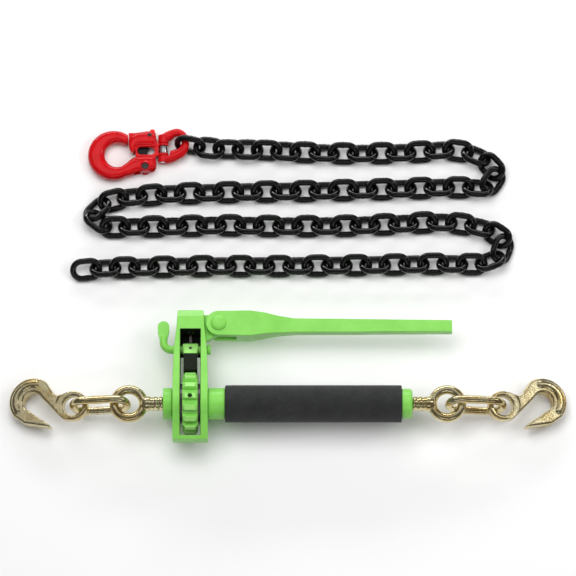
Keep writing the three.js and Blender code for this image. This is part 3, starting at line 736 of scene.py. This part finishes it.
def pawl_lever():
    """The shaft, its bend and the flattened thumb paddle."""
    path = [(20, PAWL_Y, 0), (0, PAWL_Y, 0), (LEVER_X + LEVER_BEND + 4, PAWL_Y, 0),
            (LEVER_X + LEVER_BEND - 2, PAWL_Y + 0.3, 0), (LEVER_X + 2.8, PAWL_Y + 2.8, 0),
            (LEVER_X + 0.3, PAWL_Y + LEVER_BEND - 2, 0), (LEVER_X, PAWL_Y + 17, 0)]
    outline = [(LEVER_X - 4.4, PAWL_Y + 12), (LEVER_X + 4.4, PAWL_Y + 12), (LEVER_X + PADDLE_R, PAWL_Y + 22)]
    outline += arc(LEVER_X, LEVER_TOP - PADDLE_R, PADDLE_R, 0, 180, 20) + [(LEVER_X - PADDLE_R, PAWL_Y + 22)]
    made = fuse(sweep(smooth_path(path, 8), LEVER_R, 24, dome=False), prism(outline, -3.5, 3.5))
    fuse(made, shift(rod("x", LEVER_R, 19, 23.4, 24, 0), 0, PAWL_Y))
    cut(made, shift(rod("z", 2.1, -20, 20, 24, 0), 0, PAWL_Y))
    green(forged(made, 0.4, 8, 0.4), "selector_lever", "pawl", "pawl_lever")
    cap = shift(ring("x", LEVER_R + GAP, 6, 20.2, 24, 48, 0.5), 0, PAWL_Y)
    green(solid(cap), "selector_cap", "pawl", "lever_end_cap")


def handle():
    """The forked head, the flare behind it and the plain bar."""
    face = arc(PIVOT.x, PIVOT.y, 15.2, 270, 90, 24)
    face += [(71, 112.4), (88, 110.6), (104, 107.4), (124, 104.6), (HANDLE_END, 102.6)]
    face += [(HANDLE_END, 88), (124, 87), (100, 85.4), (71, 81)]
    thick = [(15, 13.5), (71, 13.5), (88, 12), (106, 8.2), (124, 6.8), (HANDLE_END, 6.4)]
    side = [(x, -z) for x, z in thick] + [(x, z) for x, z in reversed(thick)]
    made = solid(prism(face, -20, 20))
    combine(made, "INTERSECT", prism(side, 60, 130, "xz"))
    cut(
        made,
        block(0, PIVOT.x + 21, 60, 130, -5.9, 5.9),
        shift(rod("z", 5.3, -20, 20, 40, 0), PIVOT.x, PIVOT.y),
    )
    green(forged(made, 0.55, 7, 0.35), "handle_forging", "handle", "handle_lever")


def handle_pin():
    head = [(0, 13.8), (9.2, 13.8), (9.2, 14.4), (8.4, 15.4), (6.4, 16.3), (3.4, 16.75), (0, 16.8)]
    parts = [moved(lathe(rounded(head, 0.4, closed=False), 56, closed=False), axis_map("z"))]
    parts += [rod("z", 5, -16.6, 14.4, 48, 0.2), rod("z", 6.6, -17.6, -15.6, 48, 0.6)]
    pin = fuse(*[shift(part, PIVOT.x, PIVOT.y) for part in parts])
    green(pin, "handle_rivet", "handle", "handle_pivot_pin", 35)
    washer = shift(ring("z", 5.3, 9, -15.4, -13.8, 56, 0.4), PIVOT.x, PIVOT.y)
    place(solid(washer), "handle_rivet_washer", "handle", "handle_washer", DARK, TO_BINDER)


# ---------------------------------------------------------------- binder ends: eye bolts, links, grab hooks


def screw_thread(start, end, inner, outer, pitch, sides=40):
    """A rod whose radius rises and falls along a helix, which runs out at both ends."""
    steps = int((end - start) / (pitch / 10))

    def ring_at(x, r):
        return [(x, r * math.cos(TAU * k / sides), r * math.sin(TAU * k / sides)) for k in range(sides)]

    rows = [ring_at(start, 1e-4)]
    for i in range(steps + 1):
        x = start + (end - start) * i / steps
        fade = min(1, (x - start) / pitch, (end - x) / pitch)
        row = []
        for k in range(sides):
            wave = 0.5 + 0.5 * math.cos(TAU * (x / pitch - k / sides))
            r = inner + (outer - inner) * (0.15 + 0.85 * min(1, 1.4 * wave) * fade)
            row.append((x, r * math.cos(TAU * k / sides), r * math.sin(TAU * k / sides)))
        rows.append(row)
    rows.append(ring_at(end, 1e-4))
    return grid(rows)


def eye_bolt():
    circle = [(-EYE_X + EYE_R * math.cos(rad(a)), EYE_R * math.sin(rad(a)), 0) for a in range(0, 360, 5)]
    neck = rounded([(0, -58), (7.2, -58), (9.6, -52.8), (8.6, -47), (0, -47)], 1.6, closed=False)
    eye = forged(fuse(sweep(circle, EYE_BAR, 24, closed=True), lathe(neck, 40, closed=False)), 0.5, 6, 0.5)
    return merged(eye, screw_thread(-50, 82, 7.7, 8.7, 6), rod("x", 6, 80, 89, 40, 0.6))


def link_shell(half, wide, bar, sides, turns, bead=0.0):
    """A welded oval link in XY: two straight sides and two half circles."""
    straight = half - wide
    path = []
    radii = []
    for end in (1, -1):
        for k in range(turns + 1):
            a = rad(-90 + 180 * k / turns)
            path.append((end * (straight + wide * math.cos(a)), end * wide * math.sin(a), 0))
            radii.append(bar)
        for k in range(1, 6):
            x = end * straight * (1 - k / 3)
            path.append((x, end * wide, 0))
            swell = bead * math.exp(-((x / 1.6) ** 2)) if end > 0 else 0
            radii.append(bar + swell)
    return sweep(path, radii, sides, closed=True)


def grab_hook():
    """A slotted hook, thick in the body and thin at its eye, with a raised ridge on both sides."""
    thick = HOOK_THICK / 2
    outline = [(-4.2, -18), (-10.2, -16.9), (-16.2, -11.9), (-25.8, -3.1), (-37.8, 8.2)]
    outline += arc(-49.5, 3.6, 12, 35, 215, 28)
    outline += [(-42.6, -14.4), (-34.2, -18.8), (-27, -23.8), (-24.6, -27.6), (-40.2, -25.7), (-58.2, -23.2)]
    outline += arc(-49.8, 4.4, 28.8, 222, 60, 36)
    outline += [(-28.2, 19.5), (-24.6, 14.4), (-19.8, 11.9), (-13.8, 13.8), (-6.6, 17.4)]
    thin = HOOK_EYE_THICK / 2
    blank = forged(machined(solid(prism(outline, -thick, thick)), 2.2, 3, False), 0.6, 2, 0.3)
    relief = [(0, -20), (20.1, -20), (20.1, -thin), (16, -thin)]
    relief += [(r, -z) for r, z in reversed(relief)]
    body = cut(blank, moved(lathe(relief, 72, closed=False), axis_map("z")))
    parts = [ring("z", 11.8, 18.2, -thin, thin, 72, 2.4)]
    for side in (1, -1):
        ridge = [(x, y, side * 7.4) for x, y in arc(-49.8, 4.4, 21.2, 84, 212, 30)]
        parts.append(sweep(ridge, 4.2, 16, flat=0.4))
    return forged(merged(body, *parts), 0.45, 6, 0.45)


def placed_end(left):
    """Turns a piece drawn for the left end into its place at either end."""
    if left:
        return TO_BINDER
    return TO_BINDER @ Matrix.Translation((RIGHT_EYE_X - EYE_X, 0, 0)) @ Matrix.Diagonal((-1, 1, 1, 1))


def copy_of(obj):
    twin = obj.copy()
    twin.data = obj.data.copy()
    bpy.context.scene.collection.objects.link(twin)
    return twin


def binder_ends():
    droop = rad(LINK_DROOP)
    link_at = Matrix.Translation((-EYE_X - 2.4, 0, 0))
    link_turn = Matrix.Rotation(-droop, 4, "Y") @ Matrix.Rotation(rad(LINK_LEAN), 4, "X")
    link_turn = link_turn @ Matrix.Translation((-LINK_HALF, 0, 0)) @ Matrix.Rotation(rad(90), 4, "X")
    reach = 2 * LINK_HALF
    hook_at = link_at @ Matrix.Translation((-reach * math.cos(droop), 0, -reach * math.sin(droop)))
    hook_turn = Matrix.Rotation(-rad(HOOK_DROOP), 4, "Y") @ Matrix.Rotation(-rad(HOOK_YAW), 4, "Z")
    bolt, hook = eye_bolt(), grab_hook()
    for left, side in ((True, "left"), (False, "right")):
        to = placed_end(left)
        bolt_here = bolt if not left else copy_of(bolt)
        hook_here = hook if not left else copy_of(hook)
        place(bolt_here, f"eye_bolt_threaded_{side}", f"{side}_screw", f"eye_bolt_{side}",
              ZINC, to)
        link = solid(link_shell(LINK_HALF, LINK_WIDE, LINK_BAR, 24, 24, 0.35))
        place(link, f"welded_link_{side}", f"{side}_link", f"connecting_link_{side}",
              ZINC, to @ link_at @ link_turn)
        place(hook_here, f"grab_hook_forging_{side}", f"{side}_hook", f"grab_hook_{side}",
              ZINC, to @ hook_at @ hook_turn)
        collar = solid(ring("x", 6.3, 11.9, 83, 88, 56, 0.5))
        place(collar, f"stop_ring_{side}", f"{side}_screw", f"stop_collar_{side}", DARK, to)


# ---------------------------------------------------------------- sling hook and coupling

TO_SLING = Matrix.Translation(SLING_AT)


def red(obj, name, body, node, matrix=TO_SLING, paint=RED):
    return place(obj, name, body, node, paint, matrix)


def sling_bowl():
    """A forged ring between two circles, which runs out into the shank."""
    half = SLING_THICK / 2
    cx, cy = 2.5, 0.1  # midway between the centres of the outer and the inner circle
    off = cx**2 + cy**2
    stations = []
    for angle in range(58, 299, 8):
        ux, uy = math.cos(rad(angle)), math.sin(rad(angle))
        back = cx * ux + cy * uy
        outer = -back + math.sqrt(back**2 - off + BOWL_OUTER**2)
        inner = back + math.sqrt(back**2 - off + BOWL_INNER**2)
        middle = (outer + inner) / 2
        stations.append((cx + ux * middle, cy + uy * middle, (outer - inner) / 2, half))
    stations += eased([(13.4, -20.4, 7.2, half), (20, -17, 8.4, half), (28, -12.8, 10.4, half),
                       (36, -11.2, 10.2, half), (46, -10.9, 9.2, 8.2)], 4)[1:]
    made = fuse(loft(stations, 40, 2.7, 0.8), shift(rod("z", 6.4, -8.9, 8.9, 48, 1.2), *SLING_PIVOT))
    cut(
        made,
        block(17.6, 30, 2, 40, -20, 20),
        block(25, 70, -40, 20, -4.4, 4.4),
        shift(rod("z", 4.5, -20, 20, 40, 0), *SLING_PIVOT),
        shift(rod("z", 1.5, 7, 12, 24, 0), 27.6, -7.3),
    )
    return red(forged(made, 0.42, 6, 0.45), "sling_bowl_forging", "bowl", "sling_hook_bowl")


def sling_head():
    """The head with its upper lug and slot, the thumb latch in it and the two pins."""
    wide = [(18.4, 27.4), (26, 27.4), (33.6, 28.4), (40.8, 29.8), (50.8, 28), (51.4, 20), (51, 10.6),
            (28, 9.8), (25.8, 5.4), (23.6, 2.8), (21, 4.6), (18.6, 11)]
    thin = [(27, 20), (52.6, 20), (53, 15.4), (56, 12), (56, 3), (52, -1), (48, -8), (44.6, -21),
            (32.2, -21), (29, -14), (26.6, 0)]
    eye = arc(33.4, 5.2, 4.6, 90, 270, 16) + arc(45.4, 5.2, 4.6, 270, 450, 16)
    lug = eased([(22.6, 5.6, 2.4, 6.4), (23.4, 12.4, 5.4, 7.6), (28, 18.4, 9.0, 8.4),
                 (35, 20, 9.6, 8.5), (43, 19.9, 9.6, 8.5), (49, 19, 8.6, 7.6)], 5)
    made = fuse(
        prism(wide, -5.5, 5.5),
        loft(lug, 40, 2.6, 0.3),
        prism(thin, -3.9, 3.9),
        block(52, COUPLING_X, -0.8, 15.2, -4, 4),
        shift(rod("y", 6.4, -0.8, 15.2, 40, 0.6), COUPLING_X),
    )
    cut(
        made,
        prism(eye, -1.6, 30),
        shift(rod("z", 4.4, -30, 30, 32, 0), 45.4, 5.2),
        block(54.6, 70, 2.2, 12, -20, 20),
        shift(rod("y", 3.7, -20, 40, 40, 0), COUPLING_X),
        shift(rod("z", 4.5, -20, 20, 40, 0), *SLING_PIVOT),
        shift(rod("z", 2.5, -20, 20, 32, 0), *TRIGGER_AT),
        block(36, 51.5, 17.4, 40, -3.7, 3.7),
    )
    red(forged(made, 0.38, 6, 0.45), "sling_head_forging", "sling_head", "sling_hook_head",
        paint=HEAD_PAINT)
    outline = [(37.4, 21.6), (49.6, 20.6), (50.4, 27), (49.6, 32.4), (45.6, 32.8), (42.6, 29.4), (38, 28.6)]
    latch = cut(prism(outline, -3.1, 3.1), shift(rod("z", 2.5, -20, 20, 32, 0), *TRIGGER_AT),
                shift(rod("z", 3.9, 1.2, 10, 32, 0), *TRIGGER_AT))
    red(machined(latch, 0.6), "thumb_latch", "trigger", "latch_trigger")
    pins = (("sling_pin", "sling_pivot_pin", rod("z", 4.2, -8.3, 8.3, 48, 0.7), SLING_PIVOT),
            ("latch_pin", "trigger_pin", rod("z", 2.2, -8.2, 8.2, 40, 0.4), TRIGGER_AT))
    for name, node, shell, spot in pins:
        place(solid(shift(shell, *spot)), name, "sling_head", node, DARK, TO_SLING)


def coupling():
    """The bow that the chain's first link hangs in, with its load pin and lock sleeve."""
    x = COUPLING_X
    tilt = Matrix.Rotation(rad(COUPLING_TILT), 4, "Y")
    to = TO_SLING @ Matrix.Translation((x, 0, 0)) @ tilt @ Matrix.Translation((-x, 0, 0))
    path = [(x, 20.6, 0), (x + 7, 25.8, 0), (x + 16, 29.2, 0), (x + 24, 24.6, 0), (x + 27, 14.6, 0),
            (x + 24, 3.6, 0), (x + 16, -1.6, 0), (x + 7, -4.4, 0), (x, -5.2, 0)]
    lobe = eased([(x + 26, 11, 4.6, 4.6), (x + 21, 3.4, 5.6, 5.6), (x + 12, -0.9, 7.2, 6.6),
                  (x + 4, -4, 6.4, 6.6), (x - 2, -5, 4.6, 5.8)], 5)
    arm = eased([(x - 3, 20.7, 4.9, 6.2), (x + 5, 23.9, 6.2, 6.4), (x + 12, 27.8, 5.0, 5.2),
                 (x + 18, 28.6, 4.6, 4.6)], 5)
    made = fuse(
        sweep(smooth_path(path, 6), COUPLING_BAR, 24, dome=False),
        loft(lobe, 32, 2.3, 0.5),
        loft(arm, 32, 2.3, 0.5),
        shift(rod("y", 6.6, -9, -1.2, 48, 0.8), x),
        shift(rod("y", 6.6, 15.6, 25.8, 48, 0.8), x),
    )
    cut(
        made,
        block(40, x + 9, -1.2, 15.6, -20, 20),
        shift(rod("y", 3.7, -20, 40, 40, 0), x),
        block(40, x - 6.7, -20, 40, -20, 20),
    )
    red(forged(made, 0.38, 7, 0.45), "coupling_bow", "coupling", "coupling_half", to)
    pin = solid(shift(rod("y", 3.4, -8.6, 25, 48, 0.5), x))
    place(pin, "coupling_pin", "coupling", "coupling_load_pin", BRIGHT, to)
    sleeve = solid(shift(ring("y", 3.7, 5.4, 2.6, 11.6, 48, 0.5), x))
    place(sleeve, "coupling_sleeve", "coupling", "coupling_lock_sleeve", BRIGHT, to)


# ---------------------------------------------------------------- chain


def roll_of(i):
    """How far a link is rolled about the chain: it leans to and fro, after a twist at the start."""
    side = 1 if i % 2 else -1
    return rad(side * CHAIN_LEAN + max(0, TWIST_START - TWIST_PER_PAIR * (i // 2)))


def chain_joints(total):
    """Where neighbouring links bear on each other: equal steps along the route."""
    route = [Vector(p) / MM for p in ROUTE]
    joints = [route[0]]
    leg = 0
    while len(joints) <= total:
        here = joints[-1]
        while (route[leg + 1] - here).length < CHAIN_STEP:
            leg += 1
        start = route[leg]
        along = (route[leg + 1] - start).normalized()
        offset = start - here
        half = offset.dot(along)
        joints.append(start + along * (-half + math.sqrt(half**2 - offset.length_squared + CHAIN_STEP**2)))
    height = [CHAIN_SEAT + CHAIN_WIDE * abs(math.sin(roll_of(i))) for i in range(total + 2)]
    return [Vector((p.x, p.y, max(height[i], height[i + 1]))) for i, p in enumerate(joints)]


def link_place(a, b, roll):
    along = (b - a).normalized()
    level = Vector((-along.y, along.x, 0)).normalized()
    up = along.cross(level)
    across = level * math.cos(roll) + up * math.sin(roll)
    normal = along.cross(across)
    middle = (a + b) / 2
    columns = (along, across, normal)
    rows = [[*(c[k] for c in columns), middle[k]] for k in range(3)]
    return Matrix((*rows, (0, 0, 0, 1)))


def chain():
    shell = link_shell(CHAIN_INNER / 2 + CHAIN_SEAT, CHAIN_WIDE, CHAIN_BAR, 16, 14, 0.4)
    joints = chain_joints(sum(RUNS))
    first = 1
    for number, count in enumerate(RUNS, 1):
        parts = [
            moved(shell, link_place(joints[i - 1], joints[i], roll_of(i)))
            for i in range(first, first + count)
        ]
        kind = "run" if count > 1 else "link"
        links = merged(solid(parts[0]), *parts[1:])
        place(links, f"chain_links_{number:02d}", f"chain_{number:02d}", f"chain_{kind}_{number:02d}",
              BLACK, Matrix(), 180)
        first += count


# ---------------------------------------------------------------- make everything

housing()
barrel()
gear()
pawl()
pawl_lever()
handle()
handle_pin()
binder_ends()
sling_bowl()
sling_head()
coupling()
chain()

slots = {part["node"]: part["material_slot"] for part in frame["record"]["subparts"]}
for node, obj in frame["nodes"].items():
    obj.data.materials.clear()
    obj.data.materials.append(SLOT_FINISH[slots[node]])

# ---------------------------------------------------------------- floor, light and camera

FLOOR_HALF = 6.0
floor_points = [(-FLOOR_HALF, -FLOOR_HALF, 0), (FLOOR_HALF, -FLOOR_HALF, 0),
                (FLOOR_HALF, FLOOR_HALF, 0), (-FLOOR_HALF, FLOOR_HALF, 0)]
floor_mesh = bpy.data.meshes.new("floor")
floor_mesh.from_pydata(floor_points, [], [(0, 1, 2, 3)])
floor = bpy.data.objects.new("floor", floor_mesh)
bpy.context.scene.collection.objects.link(floor)
paper = Nodes("paper")
paper_tone = paper.ramp(paper.noise(3), (0.3, (0.90, 0.90, 0.90)), (0.7, (0.92, 0.92, 0.92)))
floor.data.materials.append(paper.finish(paper_tone, paper.between(paper.noise(5), 0.85, 0.95)))


def softbox(name, spot, size, watts, glints=True):
    """A rectangular light aimed at the origin. Without glints it lights but shows in no reflection."""
    light = bpy.data.lights.new(name, "AREA")
    light.shape = "RECTANGLE"
    light.size, light.size_y = size
    light.energy = watts
    lamp = bpy.data.objects.new(name, light)
    lamp.location = spot
    lamp.rotation_euler = (-Vector(spot)).to_track_quat("-Z", "Y").to_euler()
    lamp.visible_glossy = glints
    bpy.context.scene.collection.objects.link(lamp)


softbox("key", (-0.4, 0.4, 2.1), (2.0, 1.5), 32, glints=False)
softbox("fill", (1.2, -0.2, 1.5), (1.1, 1.1), 10, glints=False)
softbox("overhead", (0, 0.62, 2.1), (3.4, 0.9), 6)
softbox("back_strip", (-0.3, 2.2, 0.95), (2.6, 0.35), 25)
softbox("front_strip", (0.1, -1.6, 1.5), (2.0, 0.18), 4)
softbox("side_strip", (1.5, 0.5, 1.3), (0.2, 0.6), 3)

WORLD_LIGHT = 0.12
world = bpy.data.worlds.new("studio")
world.use_nodes = True
world.node_tree.nodes["Background"].inputs["Color"].default_value = (1, 1, 1, 1)
world.node_tree.nodes["Background"].inputs["Strength"].default_value = WORLD_LIGHT
bpy.context.scene.world = world
bpy.context.scene.view_settings.view_transform = "Standard"
bpy.context.scene.view_settings.look = "None"

FRAME_WIDTH = 0.6912  # metres across the picture at the object
CAMERA_ELEVATION = 73
LENS = 400
SENSOR = 36
aim_point = Vector((0.0, -0.0055, 0.025))
distance = FRAME_WIDTH * LENS / SENSOR
camera_data = bpy.data.cameras.new("camera")
camera_data.lens = LENS
camera_data.sensor_width = SENSOR
camera_data.clip_end = 50
camera = bpy.data.objects.new("camera", camera_data)
up_angle = rad(CAMERA_ELEVATION)
camera.location = aim_point + distance * Vector((0, -math.cos(up_angle), math.sin(up_angle)))
camera.rotation_euler = (rad(90 - CAMERA_ELEVATION), 0, 0)
bpy.context.scene.collection.objects.link(camera)
bpy.context.scene.camera = camera
